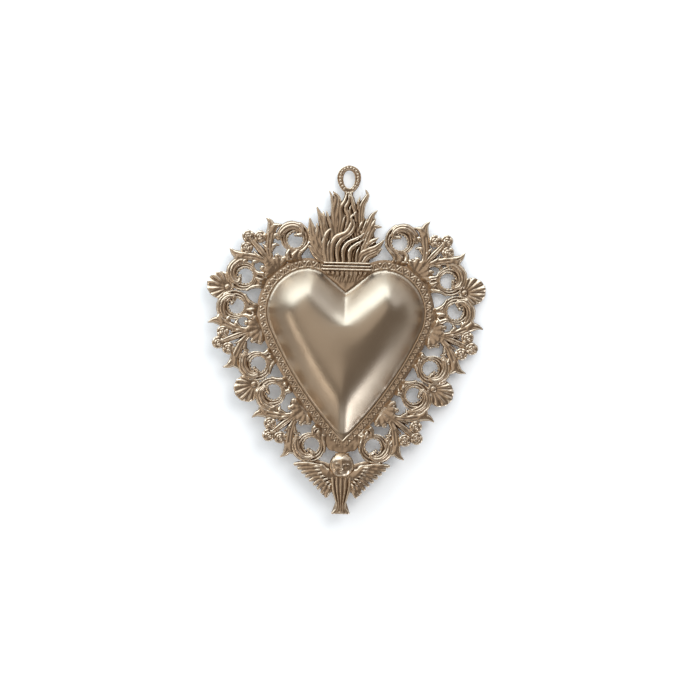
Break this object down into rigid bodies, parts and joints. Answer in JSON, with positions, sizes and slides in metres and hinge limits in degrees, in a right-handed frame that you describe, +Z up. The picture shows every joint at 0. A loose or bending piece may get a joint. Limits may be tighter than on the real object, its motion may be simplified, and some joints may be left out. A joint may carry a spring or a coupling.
{
  "type": "votive heart wall ornament",
  "caption": "Gilt tin votive heart: domed heart on a chased plate, ringed by scrolls, roses and shells, with a flame and hanging loop above and a winged cherub below.",
  "frame": {"origin": "middle of the hanging loop's opening, on the back plane that lies against the wall", "axes": "+Z up the ornament as it hangs, +X to the viewer's right, +Y into the wall, so the front looks along -Y"},
  "size_m": [0.1618, 0.0184, 0.2015],
  "materials": {
    "heart_gilt": "satin, smooth, pale champagne gilt",
    "frame_gilt": "satin, chased, with brown patina in the recesses"
  },
  "bodies": {
    "root": {"border_plate": "frame_gilt", "cherub_head": "frame_gilt", "cherub_robe": "frame_gilt", "flame": "frame_gilt", "flame_band": "frame_gilt", "hanging_loop": "frame_gilt", "heart_dome": "heart_gilt", "roses_1_left": "frame_gilt", "roses_1_right": "frame_gilt", "roses_2_left": "frame_gilt", "roses_2_right": "frame_gilt", "roses_3_left": "frame_gilt", "roses_3_right": "frame_gilt", "scroll_1_left": "frame_gilt", "scroll_1_right": "frame_gilt", "scroll_2_left": "frame_gilt", "scroll_2_right": "frame_gilt", "scroll_3_left": "frame_gilt", "scroll_3_right": "frame_gilt", "scroll_4_left": "frame_gilt", "scroll_4_right": "frame_gilt", "scroll_5_left": "frame_gilt", "scroll_5_right": "frame_gilt", "scroll_6_left": "frame_gilt", "scroll_6_right": "frame_gilt", "shell_1_left": "frame_gilt", "shell_1_right": "frame_gilt", "shell_2_left": "frame_gilt", "shell_2_right": "frame_gilt", "spray_1_left": "frame_gilt", "spray_1_right": "frame_gilt", "spray_2_left": "frame_gilt", "spray_2_right": "frame_gilt", "spray_3_left": "frame_gilt", "spray_3_right": "frame_gilt", "wing_left": "frame_gilt", "wing_right": "frame_gilt"}
  },
  "joints": []
}
